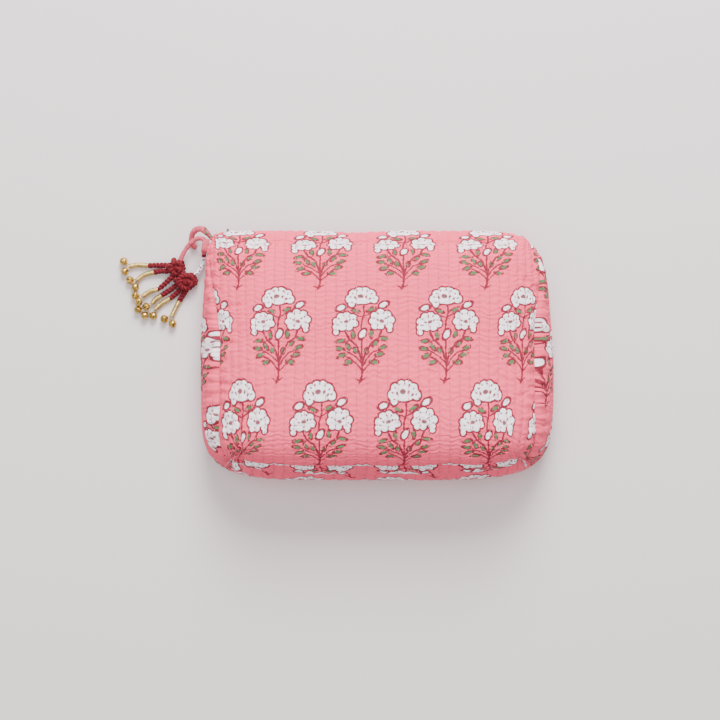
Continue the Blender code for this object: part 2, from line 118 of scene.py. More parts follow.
class PouchSettings(bpy.types.PropertyGroup):
    row_pitch: length_setting("Quilting pitch", "Distance between two rows of quilting", 0.0069)
    stitch_pitch: length_setting("Stitch pitch", "Distance from one running stitch to the next", 0.0040)
    puff: length_setting("Puff", "How far the cloth stands up between two rows", 0.0005)
    repeat_x: length_setting("Print width", "Distance between two bouquets in a row", 0.0562)
    repeat_y: length_setting("Print height", "Distance between two rows of bouquets", 0.0595)
    pink: color_setting("Pink", "Ground colour of the printed cotton", (0.93, 0.082, 0.160))
    white: color_setting("White", "Colour of the flowers", (0.95, 0.86, 0.92))
    crimson: color_setting("Crimson", "Colour of the outlines and stems", (0.16, 0.001, 0.014))
    green: color_setting("Green", "Colour of the leaves", (0.035, 0.155, 0.055))
    lining: color_setting("Lining", "Colour of the plain lining", (0.80, 0.42, 0.45))
    thread: color_setting("Thread", "Colour of the quilting thread", (0.72, 0.17, 0.23))
    tape: color_setting("Zip tape", "Colour of the zip's tape and coil", (0.62, 0.13, 0.19))


class PullSettings(bpy.types.PropertyGroup):
    yarn: color_setting("Yarn", "Colour of the tassels' yarn", (0.14, 0.002, 0.009))
    wire: color_setting("Wire", "Colour of the wound sleeves", (0.76, 0.57, 0.22))
    brass: color_setting("Brass", "Colour of the bells", (0.90, 0.60, 0.15))
    cord: color_setting("Cord", "Colour of the cloth cord", (0.60, 0.085, 0.130))
    metal: color_setting("Metal", "Colour of the slider", (0.35, 0.27, 0.16))
    twist: length_setting("Twist", "Length of one turn of the strands' yarn", 0.0052)


class StageSettings(bpy.types.PropertyGroup):
    floor: color_setting("Floor", "Colour of the seamless floor", (0.76, 0.68, 0.695))
    camera_height: length_setting("Camera height", "Height of the camera above the floor", 1.383)


# --- the surface ----------------------------------------------------------------

def ease(low, high, value):
    share = np.clip((np.asarray(value, float) - low) / (high - low), 0.0, 1.0)
    return share * share * (3 - 2 * share)


@functools.cache
def meridian(toward_zip, toward_base, front):
    """Profile from the middle of a panel out to the seam, evenly spaced along its length."""
    squareness = 5.0 + 4.0 * toward_zip
    fullness = 2.0 + 0.5 * toward_zip
    seam = SIDE_SEAM + (1.0 - SIDE_SEAM) * toward_zip + (BASE_SEAM - SIDE_SEAM) * toward_base
    seam_turn = math.asin(min(seam ** (squareness / 2), 1.0))
    if front:
        turn = np.linspace(0.0, seam_turn, 160)
        rows = np.stack([np.sin(turn) ** (2 / squareness), np.ones(160),
                         np.cos(turn).clip(0.0) ** (2 / fullness)], axis=1)
    else:
        flat = np.linspace(0.0, FLAT_SHARE, 60)
        under = np.linspace(0.0, math.pi / 2, 60)[1:]
        side = np.linspace(math.pi / 2, seam_turn, 60)[1:]
        rows = np.concatenate([
            np.stack([flat, 0 * flat, 0 * flat], axis=1),
            np.stack([FLAT_SHARE + (1 - FLAT_SHARE) * np.sin(under), 1 - np.cos(under), 0 * under], axis=1),
            np.stack([np.sin(side) ** (2 / squareness), np.ones(59),
                      np.cos(side).clip(0.0) ** (2 / fullness)], axis=1)])
    steps = np.linalg.norm(np.diff(rows * [0.100, GIRTH_Z, 0.032], axis=0), axis=1)
    return rows, np.concatenate([[0.0], np.cumsum(steps)]) / steps.sum()


def spread(share, front):
    rows, spaced = meridian(1.0, 0.0, front)
    knee = np.interp(GRID_KNEE, spaced, rows[:, 0])
    return np.where(share > GRID_KNEE, knee + (share - GRID_KNEE) * GRID_SLOPE, np.interp(share, spaced, rows[:, 0]))


def pouch_points(across, along, front):
    """Points of the pouch's outer face for arrays of grid shares from -1 to 1."""
    across, along = np.broadcast_arrays(np.asarray(across, float), np.asarray(along, float))
    along = np.where(np.maximum(np.abs(across), np.abs(along)) < 1e-6, -1e-6, along)
    ring = np.maximum(np.abs(across), np.abs(along))
    reach_out = spread(ring, front)
    dir_x = np.copysign(spread(np.abs(across), front) / reach_out, across)
    dir_y = np.copysign(spread(np.abs(along), front) / reach_out, along)
    power = np.where(dir_y < 0, BASE_SQUARENESS, np.where(dir_x < 0, LEFT_SQUARENESS, RIGHT_SQUARENESS))
    power = power + INNER_SQUARENESS * (1 - ring).clip(0.0) ** INNER_FADE
    reach = (np.abs(dir_x) ** power + np.abs(dir_y) ** power) ** (1 / power)
    edge_y = HALF_HEIGHT * dir_y / reach
    taper = np.where(dir_x < 0, LEFT_TAPER, RIGHT_TAPER)
    edge_x = (HALF_WIDTH - taper * (edge_y / 0.080).clip(0.0) ** 1.5) * dir_x / reach
    toward_zip = ease(0.1, 1.0, dir_y)
    toward_base = ease(0.4, 1.0, -dir_y)
    share = np.empty(across.shape + (3,))
    keys = np.round(toward_zip, 3) * 4096 + np.round(toward_base, 3)
    for key in np.unique(keys):
        spots = keys == key
        rows, spaced = meridian(round(float(toward_zip[spots][0]), 3), round(float(toward_base[spots][0]), 3), front)
        for column in range(3):
            share[spots, column] = np.interp(ring[spots], spaced, rows[:, column])
    x, y = edge_x * share[..., 0], edge_y * share[..., 0]
    girth = GIRTH_Z + (ZIP_Z - GIRTH_Z) * toward_zip
    crown = ZIP_THICKNESS + CROWN_RISE * ((HALF_HEIGHT - y).clip(0.0) / (2 * HALF_HEIGHT)) ** CROWN_POWER
    return np.stack([x, y, girth * share[..., 1] + (crown - girth) * share[..., 2]], axis=-1)


def grid_normals(points, front):
    normals = np.cross(np.gradient(points, axis=1), np.gradient(points, axis=0))
    normals /= np.linalg.norm(normals, axis=-1, keepdims=True).clip(1e-12)
    return normals if front else -normals


def cloth_lines(front, columns, step, extras):
    """Grid shares at equal steps of cloth."""
    fine = np.linspace(-0.999, 0.999, 1200)
    points = pouch_points(fine, 0.0, front) if columns else pouch_points(0.0, fine, front)
    cloth = np.concatenate([[0.0], np.cumsum(np.linalg.norm(np.diff(points, axis=0), axis=1))])
    cloth -= np.interp(0.0, fine, cloth)
    marks = step * np.arange(math.ceil(cloth[0] / step), math.floor(cloth[-1] / step) + 1)
    lines = np.concatenate([[fine[0]], np.interp(marks, cloth, fine), [fine[-1]]])
    for extra in extras:                      # each line that a piece ends on takes over the nearest one
        lines[np.argmin(np.abs(lines - extra))] = extra
    return lines


def valley(distance, width):
    return np.exp(-(distance / width) ** 2)


def soft_noise(x, y, size, seed):
    """Smooth undulation from a few crossing waves, about -1 to 1."""
    total = 0.0
    random = np.random.default_rng(seed)
    for _ in range(7):
        turn, phase = random.uniform(0, 2 * math.pi, 2)
        wave = 2 * math.pi / (size * random.uniform(0.7, 1.5))
        total = total + np.sin(wave * (x * math.cos(turn) + y * math.sin(turn)) + phase)
    return total / 4.0


def line_distance(x, y, route):
    """Distance in plan from a polyline, whose points are in millimetres."""
    best = np.full(np.shape(x), 1.0)
    for start, end in zip(route, route[1:]):
        start, end = np.array(start) * MM, np.array(end) * MM
        along = ((x - start[0]) * (end - start)[0] + (y - start[1]) * (end - start)[1]) / np.sum((end - start) ** 2)
        along = np.clip(along, 0.0, 1.0)
        gap = np.hypot(x - start[0] - along * (end - start)[0], y - start[1] - along * (end - start)[1])
        best = np.minimum(best, gap)
    return best


def make_panel(front, pitch, puff):
    """Fine grid of one side: outer and inner points, normals and cloth coordinates."""
    columns = cloth_lines(front, True, pitch / 8, (*LIP_SPAN, *CHANNEL) if front else CHANNEL)
    rows = cloth_lines(front, False, 1.4 * MM, (LIP_FOLD, FRONT_LIP_END) if front else (BACK_LIP_END,))
    if front:
        rows = np.union1d(rows, [LIP_FOLD - 0.008, LIP_FOLD + 0.008])
    base = pouch_points(columns[None, :], rows[:, None], front)
    across, along = np.broadcast_arrays(columns[None, :], rows[:, None])
    x, y, z = np.moveaxis(base, -1, 0)
    if front:
        crown = ZIP_THICKNESS + CROWN_RISE * ((HALF_HEIGHT - y).clip(0.0) / (2 * HALF_HEIGHT)) ** CROWN_POWER
        turned = 0.75 * (crown - z)
    else:
        turned = 0.5 * np.minimum(z, GIRTH_Z) + 1.45 * (z - GIRTH_Z).clip(0.0)
    sideways = ease(-0.15, 0.15, np.abs(across) - np.abs(along))
    u = x + np.sign(x) * turned * sideways
    if front:
        v = y * np.where(y < 0, BASE_STRETCH, 1.0) + np.where(y < 0, -BASE_TURN, ZIP_TURN) * turned * (1 - sideways)
    else:
        v = y + np.sign(y) * turned * (1 - sideways)
        u, v = u + BACK_PRINT[0], v + BACK_PRINT[1]
    edge = (1.0 - np.maximum(np.abs(across), np.abs(along))) * 0.105
    lift = -0.5 * puff * np.cos(2 * math.pi * u / pitch) * ease(0.001, 0.010, edge)
    lift += 0.22 * MM * np.sin(2 * math.pi * v / 0.0081 + 5 * soft_noise(u, v, 0.03, 3)) * soft_noise(u, v, 0.02, 5)
    lift += 0.7 * MM * soft_noise(x, y, 0.070, 11) * ease(0.004, 0.03, edge)
    lift -= 1.5 * MM * valley(edge, 0.0022)
    seam_way = np.where(np.abs(across) > np.abs(along), y, x)
    pucker = np.sin(2 * math.pi * seam_way / 0.0088 + 3 * soft_noise(x, y, 0.04, 7))
    lift += 0.55 * MM * pucker * valley(edge - 0.005, 0.005)
    if front:
        band = ease(LIP_SPAN[0] - 0.12, LIP_SPAN[0], across) * (1 - ease(LIP_SPAN[1], LIP_SPAN[1] + 0.12, across))
        lift -= 1.3 * MM * valley((along - LIP_FOLD) * 0.085, 0.0013) * band
        lift -= 0.9 * MM * valley(v + 0.0762, 0.0016)
        lift -= 1.3 * MM * valley(x + 0.0147, 0.020) * ease(LIP_FOLD, FRONT_LIP_END, along)
        for route, depth, width in CREASES:
            lift -= depth * MM * valley(line_distance(x, y, route), width * MM)
    normals = grid_normals(base, front)
    outer = base + normals * lift[..., None]
    outer[..., 2] = np.maximum(outer[..., 2], 0.0001)
    inner = base - normals * (2.9 * MM)
    if front:
        for layer in (outer, inner):
            layer[..., 1] += LIP_OVERHANG * ease(LIP_FOLD, FRONT_LIP_END, along) * (1 - ease(0.85, 0.97, across))
    return {"across": across, "along": along, "u": u, "v": v, "outer": outer, "inner": inner,
            "normals": grid_normals(outer, front), "front": front, "pitch": pitch}


LIP_OVERHANG = 1.9 * MM                # how far the lip's edge stands out over the zip
BASE_STRETCH, BASE_TURN, ZIP_TURN = 0.82, 1.38, 2.9     # how the cloth lies over the base half, and turns down to the zip
BACK_PRINT = (0.0290, 0.019)           # how far the back's print is out of step with the front's
CREASES = (   # route in plan, depth and half width, millimetres
    (((-92.0, -32.0), (-92.4, -52.0), (-90.5, -73.0)), 1.0, 1.6),
    (((101.0, 52.0), (108.0, 44.0)), 1.3, 1.7),
    (((96.0, 57.0), (106.5, 38.0)), 1.1, 1.5),
    (((-106.0, 10.0), (-94.0, 7.0)), 0.7, 1.4),
    (((-106.5, -4.0), (-97.0, -7.5)), 0.7, 1.4),
    (((-107.0, -19.0), (-95.0, -20.5)), 0.8, 1.5),
    (((-103.5, 32.0), (-93.0, 34.5)), 0.8, 1.5),
    (((104.5, 12.0), (94.0, 15.0)), 0.7, 1.4),
    (((104.0, -22.0), (95.0, -27.0)), 0.7, 1.5),
    (((12.0, -79.0), (51.0, -72.3), (77.0, -79.0)), 1.2, 1.6),
)


def closed_sheet(name, panel, cells, uv_sign):
    """Closed quilted sheet over some cells of a panel: print outside, lining inside."""
    rows, columns = panel["u"].shape
    count = rows * columns
    index = np.arange(count).reshape(rows, columns)
    quads = np.stack([index[:-1, :-1][cells], index[:-1, 1:][cells], index[1:, 1:][cells], index[1:, :-1][cells]], 1)
    if not panel["front"]:
        quads = quads[:, ::-1]
    edges = np.concatenate([quads[:, [side, (side + 1) % 4]] for side in range(4)])
    codes, reverse = edges[:, 0] * count + edges[:, 1], edges[:, 1] * count + edges[:, 0]
    rim = edges[~np.isin(codes, reverse)]
    walls = np.stack([rim[:, 1], rim[:, 0], rim[:, 0] + count, rim[:, 1] + count], 1)
    faces = np.concatenate([quads, walls, quads[:, ::-1] + count])
    used, flat = np.unique(faces, return_inverse=True)
    points = np.concatenate([panel["outer"].reshape(-1, 3), panel["inner"].reshape(-1, 3)])[used]
    normals = np.concatenate([panel["normals"].reshape(-1, 3), -panel["normals"].reshape(-1, 3)])[used]
    cloth = np.stack([uv_sign * panel["u"].ravel(), panel["v"].ravel()], 1)
    mesh = bpy.data.meshes.new(name)
    mesh.from_pydata(points.tolist(), [], flat.reshape(-1, 4).tolist())
    layer = mesh.uv_layers.new(name="cloth")
    loops = np.empty(len(mesh.loops), dtype=np.int64)
    mesh.loops.foreach_get("vertex_index", loops)
    layer.data.foreach_set("uv", cloth[used[loops] % count].ravel().astype(np.float32))
    slots = np.zeros(len(faces), dtype=np.int32)
    slots[len(quads) + len(walls):] = 1
    mesh.polygons.foreach_set("material_index", slots)
    mesh.shade_smooth()
    mesh.normals_split_custom_set_from_vertices(normals.tolist())
    item = bpy.data.objects.new(name, mesh)
    bpy.context.scene.collection.objects.link(item)
    return item


# --- shader maths -----------------------------------------------------------------

class Value:
    """A shader socket that takes part in sums; each operator adds one Math node."""

    def __init__(self, shade, socket):
        self.shade, self.socket = shade, socket

    def math(self, operation, *others):
        return self.shade.value("ShaderNodeMath", {"operation": operation}, (self, *others))

    def __add__(self, other):
        return self.math("ADD", other)

    def __sub__(self, other):
        return self.math("SUBTRACT", other)

    def __mul__(self, other):
        return self.math("MULTIPLY", other)

    def __truediv__(self, other):
        return self.math("DIVIDE", other)

    def __rsub__(self, other):
        return self.shade.value("ShaderNodeMath", {"operation": "SUBTRACT"}, (other, self))

    def __neg__(self):
        return self.math("MULTIPLY", -1.0)

    __radd__ = __add__
    __rmul__ = __mul__

    def low(self, other):
        return self.math("MINIMUM", other)

    def high(self, other):
        return self.math("MAXIMUM", other)

    def size(self):
        return self.math("ABSOLUTE")

    def step(self, low, high):
        """Smooth rise from 0 at low to 1 at high, or a fall if low is the larger."""
        settings = {"interpolation_type": "SMOOTHSTEP"}
        if low < high:
            return self.shade.value("ShaderNodeMapRange", settings, {0: self, 1: low, 2: high})
        return 1.0 - self.shade.value("ShaderNodeMapRange", settings, {0: self, 1: high, 2: low})


class Shade:
    """One Principled material and the nodes that feed it."""

    def __init__(self, name, roughness=0.85, metallic=0.0):
        self.material = bpy.data.materials.new(name)
        self.material.use_nodes = True
        self.tree = self.material.node_tree
        self.shader = self.tree.nodes["Principled BSDF"]
        self.shader.inputs["Roughness"].default_value = roughness
        self.shader.inputs["Metallic"].default_value = metallic

    def add(self, kind, settings=None, values=()):
        node = self.tree.nodes.new(kind)
        for key, setting in (settings or {}).items():
            setattr(node, key, setting)
        for key, value in (values.items() if isinstance(values, dict) else enumerate(values)):
            if isinstance(value, Value):
                self.tree.links.new(value.socket, node.inputs[key])
            else:
                node.inputs[key].default_value = value
        return node

    def value(self, kind, settings=None, values=(), output=0):
        return Value(self, self.add(kind, settings, values).outputs[output])

    def noise(self, place, scale, detail=2.0, output="Fac"):
        return self.value("ShaderNodeTexNoise", {}, {"Vector": place, "Scale": scale, "Detail": detail}, output)

    def mix(self, share, first, second):
        return self.value("ShaderNodeMix", {"data_type": "RGBA"}, {0: share, 6: first, 7: second}, 2)

    def finish(self, color=None, height=None, distance=0.001, roughness=None, strength=1.0):
        if color is not None:
            self.tree.links.new(color.socket, self.shader.inputs["Base Color"])
        if roughness is not None:
            self.tree.links.new(roughness.socket, self.shader.inputs["Roughness"])
        if height is not None:
            bump = self.value("ShaderNodeBump", {}, {"Height": height, "Distance": distance, "Strength": strength})
            self.tree.links.new(bump.socket, self.shader.inputs["Normal"])
        return self.material


def rgba(color):
    return (*color, 1.0)


# --- the printed cotton ---------------------------------------------------------------

def strokes(points, width):
    """Thin ellipses along a drawn line: x, y, half length, half width, turn in degrees."""
    shapes = []
    for (x0, y0), (x1, y1) in zip(points, points[1:]):
        half = math.hypot(x1 - x0, y1 - y0) / 2
        shapes.append(((x0 + x1) / 2, (y0 + y1) / 2, half + 1.4, width * 1.6, math.degrees(math.atan2(y1 - y0, x1 - x0))))
    return shapes


PETALS = [   # x, y, half width, half height, turn, all in millimetres from the stem's foot
    (1.0, 55.2, 7.6, 4.4, 0), (-6.8, 54.4, 3.0, 3.2, 0), (-4.8, 58.0, 3.1, 3.0, 0), (-1.0, 59.6, 3.0, 3.1, 0),
    (3.2, 59.8, 3.0, 3.0, 0), (6.9, 58.0, 3.1, 3.0, 0), (9.0, 54.4, 2.9, 2.9, 0), (-5.8, 51.2, 2.3, 2.5, 0),
    (-9.8, 38.8, 6.0, 4.0, 0), (-15.8, 38.6, 2.7, 2.6, 0), (-13.0, 41.8, 2.7, 2.6, 0), (-9.2, 42.6, 2.6, 2.7, 0),
    (-5.4, 41.2, 2.6, 2.5, 0), (-3.9, 37.4, 2.3, 2.4, 0), (-7.4, 34.8, 2.4, 2.4, 0), (-12.0, 34.6, 2.6, 2.4, 0),
    (-16.2, 34.6, 2.3, 2.3, 0), (-16.4, 31.2, 1.9, 1.9, 0),
    (14.4, 40.2, 5.6, 4.2, 0), (8.2, 38.8, 2.4, 2.5, 0), (9.6, 42.6, 2.6, 2.6, 0), (13.4, 44.8, 2.7, 2.5, 0),
    (17.8, 43.6, 2.6, 2.6, 0), (20.4, 39.8, 2.5, 2.6, 0), (19.2, 35.8, 2.3, 2.4, 0), (13.4, 35.4, 2.3, 2.2, 0),
    (9.6, 35.4, 2.2, 2.2, 0), (19.6, 33.0, 1.7, 1.7, 0),
    (1.4, 30.0, 1.9, 3.3, -28), (-13.0, 48.2, 2.9, 1.7, 20), (15.6, 50.4, 3.0, 1.7, 30),
]
LEAVES = [
    (-3.2, 46.0, 2.7, 1.2, -20), (7.0, 47.0, 2.7, 1.2, 25), (-4.9, 29.2, 1.2, 2.6, 0), (7.2, 30.0, 1.2, 2.6, 0),
    (16.0, 26.8, 2.8, 1.3, -5), (14.7, 20.5, 2.8, 1.3, 30), (12.7, 15.8, 2.7, 1.3, 15), (8.9, 11.4, 2.6, 1.3, -5),
    (-13.5, 25.1, 2.8, 1.3, 15), (-13.9, 19.9, 2.7, 1.3, -10), (-12.3, 15.1, 2.7, 1.3, 25), (-8.2, 11.3, 2.6, 1.3, 10),
    (-8.0, 21.2, 2.6, 1.2, -60), (-3.4, 18.7, 1.5, 2.0, 15), (4.0, 18.3, 1.4, 2.1, -15), (9.8, 23.4, 2.4, 1.1, 50),
]
LINES = (
    strokes([(2.1, 51.7), (2.5, 44.4), (0.9, 38.7), (0.5, 33.7)], 0.42)
    + strokes([(-2.4, 50.6), (1.7, 52.4), (8.2, 51.2)], 0.45)
    + strokes([(-11.2, 46.6), (-8.0, 44.6), (2.0, 41.4)], 0.32)
    + strokes([(13.4, 49.0), (8.0, 45.4), (2.2, 42.0)], 0.32)
    + strokes([(-10.6, 33.0), (-7.4, 26.2), (-2.4, 21.7), (0.9, 11.5), (1.2, 8.2), (0.9, 3.3), (-0.4, 0.0)], 0.5)
    + strokes([(14.6, 34.0), (12.2, 27.4), (7.4, 24.0), (3.4, 17.0), (1.1, 10.0)], 0.46)
    + strokes([(1.0, 26.6), (0.8, 18.0), (1.2, 10.0)], 0.42)
    + strokes([(-11.0, 24.0), (-7.4, 25.4)], 0.3)
    + strokes([(-11.4, 19.2), (-3.6, 14.6), (0.8, 11.0)], 0.34)
    + strokes([(-9.8, 14.4), (-5.7, 12.9), (-1.6, 9.4), (1.0, 6.4)], 0.34)
    + strokes([(13.6, 19.4), (8.2, 17.2), (4.1, 13.1), (1.6, 9.0)], 0.34)
    + strokes([(11.0, 15.0), (5.6, 9.8), (1.4, 6.0)], 0.3)
    + strokes([(-2.6, 1.6), (-0.2, 0.4), (2.8, 2.0)], 0.34)
)
DOTS = [
    (0.0, 56.4, 2.0, 1.5, 0), (-3.6, 55.4, 0.7, 1.3, 30), (3.8, 56.2, 0.7, 1.3, -20), (6.4, 54.6, 0.7, 1.2, -45),
    (-9.6, 38.6, 1.7, 1.2, 10), (-12.8, 38.2, 0.6, 1.1, 60), (-7.0, 39.6, 0.6, 1.0, -40),
    (14.2, 38.8, 1.7, 1.2, -10), (11.4, 39.8, 0.6, 1.1, 50), (16.8, 40.8, 0.6, 1.1, -50),
    (-6.6, 55.8, 0.5, 0.8, 60), (-5.0, 58.4, 0.5, 0.8, 40), (-2.4, 60.4, 0.5, 0.8, 10), (1.2, 61.0, 0.5, 0.8, 0),
    (4.6, 60.2, 0.5, 0.8, -25), (7.4, 58.0, 0.5, 0.8, -45), (9.0, 55.0, 0.5, 0.8, -70), (-5.6, 52.0, 0.5, 0.8, 90),
    (-14.6, 40.6, 0.5, 0.7, 50), (-11.0, 42.6, 0.5, 0.8, 15), (-7.6, 42.6, 0.5, 0.8, -15), (-4.8, 40.0, 0.5, 0.7, -50),
    (-15.4, 36.2, 0.5, 0.7, 100), (-9.6, 35.2, 0.5, 0.7, 0), (9.0, 41.0, 0.5, 0.7, 50), (11.8, 44.2, 0.5, 0.8, 20),
    (15.6, 44.4, 0.5, 0.8, -15), (19.0, 42.0, 0.5, 0.7, -50), (20.2, 38.0, 0.5, 0.7, -90), (11.6, 36.0, 0.5, 0.7, 10),
]


def printed_cotton(pouch):
    """Pink cotton with rows of bouquets, half a step apart, quilting puckers, and painted shade in the quilting
    valleys.
    """
    shade = Shade("printed_cotton", roughness=0.88)
    cloth = shade.value("ShaderNodeUVMap", {"uv_map": "cloth"})
    width, height = pouch.repeat_x / BOUQUET_UNIT, pouch.repeat_y / BOUQUET_UNIT
    split = shade.add("ShaderNodeSeparateXYZ", {}, (cloth,))
    fabric_x, fabric_y = Value(shade, split.outputs[0]), Value(shade, split.outputs[1])
    wobble = shade.value("ShaderNodeTexNoise", {}, {"Vector": cloth, "Scale": 420.0, "Detail": 2.0}, "Color")
    broken = shade.add("ShaderNodeSeparateXYZ", {}, (wobble,))
    u = fabric_x * (1 / BOUQUET_UNIT) + (Value(shade, broken.outputs[0]) - 0.5) * 1.3 - PRINT_SHIFT[0]
    v = fabric_y * (1 / BOUQUET_UNIT) + (Value(shade, broken.outputs[1]) - 0.5) * 1.3
    under = v.math("LESS_THAN", BASE_FOLD)           # below the base fold the cloth runs the other way up
    v = v + under * (FOLD_PRINT - v * 2.0) - PRINT_SHIFT[1]
    lobe = (u * (2 * math.pi / width)).math("COSINE").math("SIGN") * 2.2
    pair = (v + lobe).math("FLOORED_MODULO", 2 * height) - lobe
    second = (pair - lobe).math("GREATER_THAN", height)
    x = (u - second * (width / 2) + width / 2).math("FLOORED_MODULO", width) - width / 2
    y = (pair - second * height) * 1.04
    place = shade.value("ShaderNodeCombineXYZ", {}, (x, y, 0.0))

    def nearest(shapes):
        """Signed distance in millimetres from a set of ellipses, up to the margin outside them."""
        best, margin = None, 1.5
        for middle_x, middle_y, half_x, half_y, turn in shapes:
            thin = min(half_x, half_y)
            swell = (thin + margin) / thin
            local = shade.value("ShaderNodeMapping", {"vector_type": "TEXTURE"},
                                (place, (middle_x, middle_y, 0.0), (0.0, 0.0, math.radians(turn)),
                                 (half_x * swell, half_y * swell, 1.0)))
            depth = shade.value("ShaderNodeTexGradient", {"gradient_type": "SPHERICAL"}, (local,), "Fac")
            depth = depth * (thin + margin)
            best = depth if best is None else best.high(depth)
        return margin - best

    petals, leaves, lines, dots = nearest(PETALS), nearest(LEAVES), nearest(LINES), nearest(DOTS)
    patchy = shade.noise(cloth, 900.0, 3.0)
    soft = 0.16
    white = petals.step(soft, -soft)
    outline = (petals - 0.44).size().step(0.72, 0.46)
    leaf = leaves.step(soft, -soft)
    leaf_line = (leaves - 0.2).size().step(0.56, 0.3) * shade.noise(cloth, 330.0, 1.0).step(0.38, 0.48)
    red = outline.high(lines.step(soft, -soft) * (1.0 - white)).high(dots.step(soft, -soft))
    red = red.high(leaf_line)
    worn = shade.noise(cloth, 2600.0, 2.0)
    pink = shade.mix(shade.noise(cloth, 60.0, 3.0), rgba([part * 0.94 for part in pouch.pink]),
                     rgba([min(1.0, part * 1.06) for part in pouch.pink]))
    color = shade.mix(white * 0.97, pink, rgba(pouch.white))
    color = shade.mix(leaf * (0.90 + 0.10 * patchy), color, rgba(pouch.green))
    color = shade.mix(red * worn.step(0.22, 0.42) * 0.95, color, rgba(pouch.crimson))
    line = (fabric_x * (1 / pouch.row_pitch)).math("FRACT")
    groove = (line - 0.5).size().step(0.43, 0.5)
    # painted shade: the colour darkens a little in the valleys of the quilting lines
    color = shade.mix(groove * 0.12, color, rgba([part * 0.55 for part in pouch.pink]))
    sway = shade.noise(cloth, 110.0, 2.0)
    waves = ((fabric_y * (2 * math.pi / 0.0037) + sway * 16.0).math("SINE") * 0.5 + 0.5) * shade.noise(cloth, 75.0, 1.0)
    wrinkle = shade.noise(cloth, 260.0, 3.0)
    warp = (fabric_x * (2 * math.pi / 0.00046)).math("SINE") * (fabric_y * (2 * math.pi / 0.00046)).math("SINE")
    tall = waves * 0.75 + wrinkle * 0.60 + warp * 0.03 - groove * 0.35
    return shade.finish(color, tall, distance=0.0010, strength=0.75)


BASE_FOLD, FOLD_PRINT = -76.0, -112.0     # base fold, and what the print turns about there, millimetres
PRINT_SHIFT = (-11.2, -14.2)      # cloth position of one bouquet's foot, millimetres


def plain_cloth(name, color, scale=1.0):
    """Plain woven cloth with a fine weave and soft wrinkles."""
    shade = Shade(name, roughness=0.9)
    place = shade.value("ShaderNodeTexCoord", {}, (), "Object")
    split = shade.add("ShaderNodeSeparateXYZ", {}, (place,))
    x, y, z = (Value(shade, split.outputs[index]) for index in range(3))
    weave = (x * (6283.0 / scale)).math("SINE") * ((y + z) * (6283.0 / scale)).math("SINE")
    cloudy = shade.noise(place, 90.0, 3.0)
    tone = shade.mix(cloudy, rgba([part * 0.86 for part in color]), rgba([min(1.0, part * 1.1) for part in color]))
    return shade.finish(tone, weave * 0.3 + shade.noise(place, 400.0, 3.0), distance=0.0004, strength=0.6)


def yarn_cloth(name, color, fibre=2500.0):
    shade = Shade(name, roughness=0.92)
    place = shade.value("ShaderNodeTexCoord", {}, (), "Object")
    fluff = shade.noise(place, fibre, 4.0)
    tone = shade.mix(fluff, rgba([part * 0.45 for part in color]), rgba([min(1.0, part * 1.7) for part in color]))
    return shade.finish(tone, fluff, distance=0.0004, strength=0.9)


def worn_metal(name, color, roughness, grime=0.35):
    shade = Shade(name, roughness=roughness, metallic=1.0)
    place = shade.value("ShaderNodeTexCoord", {}, (), "Object")
    cloud = shade.noise(place, 500.0, 4.0)
    tone = shade.mix(cloud.step(0.35, 0.7), rgba([part * grime for part in color]), rgba(color))
    rough = shade.noise(place, 900.0, 3.0) * 0.25 + (roughness - 0.1)
    return shade.finish(tone, cloud, distance=0.0001, roughness=rough, strength=0.4)


# --- meshes along routes ------------------------------------------------------------

def smooth_route(points, spacing, unit=MM):
    knots = [Vector(point) * unit for point in points]
    knots = [2 * knots[0] - knots[1]] + knots + [2 * knots[-1] - knots[-2]]
    fine = []
    for before, start, end, after in zip(knots, knots[1:], knots[2:], knots[3:]):
        for step in range(20):
            t = step / 20
            fine.append(0.5 * (2 * start + (end - before) * t + (2 * before - 5 * start + 4 * end - after) * t * t
                               + (3 * start - before - 3 * end + after) * t ** 3))
    fine.append(knots[-2])
    table = np.array([tuple(point) for point in fine])
    lengths = np.concatenate([[0.0], np.cumsum(np.linalg.norm(np.diff(table, axis=0), axis=1))])
    marks = np.linspace(0.0, lengths[-1], max(3, round(lengths[-1] / spacing) + 1))
    return np.stack([np.interp(marks, lengths, table[:, axis]) for axis in range(3)], axis=1)


def route_frames(points, closed=False):
    """Tangents and two side directions that don't twist along a route."""
    if closed:
        tangents = np.roll(points, -1, axis=0) - np.roll(points, 1, axis=0)
    else:
        tangents = np.gradient(points, axis=0)
    tangents /= np.linalg.norm(tangents, axis=1, keepdims=True)
    side = np.cross(tangents[0], (0.0, 0.0, 1.0))
    if np.linalg.norm(side) < 0.1:
        side = np.cross(tangents[0], (0.0, 1.0, 0.0))
    sides = []
    for tangent in tangents:
        side = side - tangent * np.dot(side, tangent)
        side = side / np.linalg.norm(side)
        sides.append(side)
    sides = np.array(sides)
    return tangents, sides, np.cross(tangents, sides)


def route_length(points):
    return float(np.linalg.norm(np.diff(points, axis=0), axis=1).sum())


